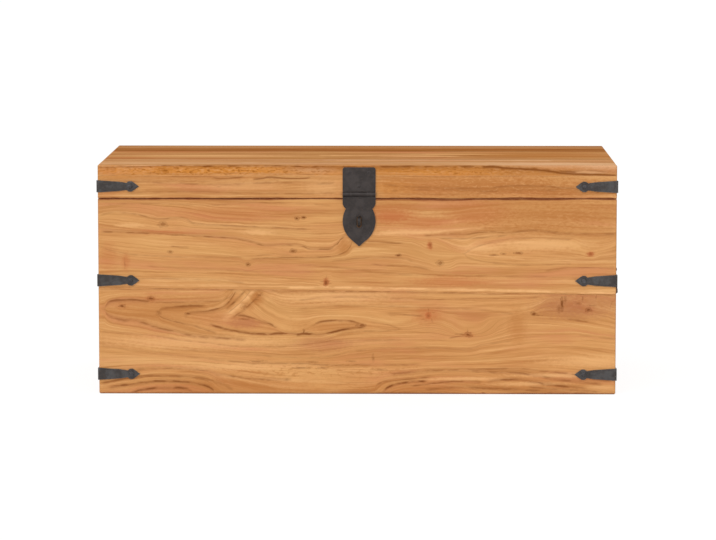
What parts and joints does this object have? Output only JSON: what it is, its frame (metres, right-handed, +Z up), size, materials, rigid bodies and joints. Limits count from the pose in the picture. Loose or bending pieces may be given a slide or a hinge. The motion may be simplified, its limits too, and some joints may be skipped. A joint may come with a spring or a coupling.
{
  "type": "outdoor storage chest",
  "caption": "Rectangular wooden storage chest with a boxed hinged lid, drop handles on the ends, a hasp and staple, and iron corner straps.",
  "frame": {"origin": "middle of the footprint at ground level", "axes": "+X along the chest's length, to the right as seen from the front; +Y towards the hinges at the back; +Z up"},
  "size_m": [0.9312, 0.4709, 0.4],
  "materials": {
    "acacia": "oiled acacia, honey brown, satin",
    "black_iron": "forged iron, blackened, low sheen"
  },
  "bodies": {
    "box": {"back_lower_board": "acacia", "back_upper_board": "acacia", "bottom_back_board": "acacia", "bottom_front_board": "acacia", "bottom_left_batten": "acacia", "bottom_middle_batten": "acacia", "bottom_middle_board": "acacia", "bottom_nails": "black_iron", "bottom_right_batten": "acacia", "box_leaf_nails": "black_iron", "box_strap_nails": "black_iron", "front_lower_board": "acacia", "front_upper_board": "acacia", "hasp_staple": "black_iron", "left_handle_eyes": "black_iron", "left_hinge_box_leaf": "black_iron", "left_lower_board": "acacia", "left_upper_board": "acacia", "low_back_left_strap": "black_iron", "low_back_right_strap": "black_iron", "low_front_left_strap": "black_iron", "low_front_right_strap": "black_iron", "mid_back_left_strap": "black_iron", "mid_back_right_strap": "black_iron", "mid_front_left_strap": "black_iron", "mid_front_right_strap": "black_iron", "right_handle_eyes": "black_iron", "right_hinge_box_leaf": "black_iron", "right_lower_board": "acacia", "right_upper_board": "acacia"},
    "lid": {"hasp_pin": "black_iron", "hasp_plate": "black_iron", "hasp_plate_nails": "black_iron", "left_hinge_lid_leaf": "black_iron", "left_hinge_pin": "black_iron", "lid_back_board": "acacia", "lid_back_left_strap": "black_iron", "lid_back_rail": "acacia", "lid_back_right_strap": "black_iron", "lid_batten_nails": "black_iron", "lid_front_board": "acacia", "lid_front_left_strap": "black_iron", "lid_front_rail": "acacia", "lid_front_right_strap": "black_iron", "lid_leaf_nails": "black_iron", "lid_left_batten": "acacia", "lid_left_rail": "acacia", "lid_middle_board": "acacia", "lid_right_batten": "acacia", "lid_right_rail": "acacia", "lid_strap_nails": "black_iron", "right_hinge_lid_leaf": "black_iron", "right_hinge_pin": "black_iron"},
    "hasp": {"hasp": "black_iron"},
    "left_handle": {"left_handle_bail": "black_iron"},
    "right_handle": {"right_handle_bail": "black_iron"}
  },
  "joints": [
    {"name": "lid_hinge", "type": "hinge", "parent": "box", "child": "lid", "pos_m": [0, 0.22, 0.34185], "axis": [-1, 0, 0], "range_deg": [0, 100]},
    {"name": "hasp_hinge", "type": "hinge", "parent": "lid", "child": "hasp", "pos_m": [0.0035, -0.2293, 0.35], "axis": [-1, 0, 0], "range_deg": [0, 175]},
    {"name": "right_handle_pivot", "type": "hinge", "parent": "box", "child": "right_handle", "pos_m": [0.456, 0, 0.2], "axis": [0, -1, 0], "range_deg": [0, 170]},
    {"name": "left_handle_pivot", "type": "hinge", "parent": "box", "child": "left_handle", "pos_m": [-0.456, 0, 0.2], "axis": [0, 1, 0], "range_deg": [0, 170]}
  ]
}
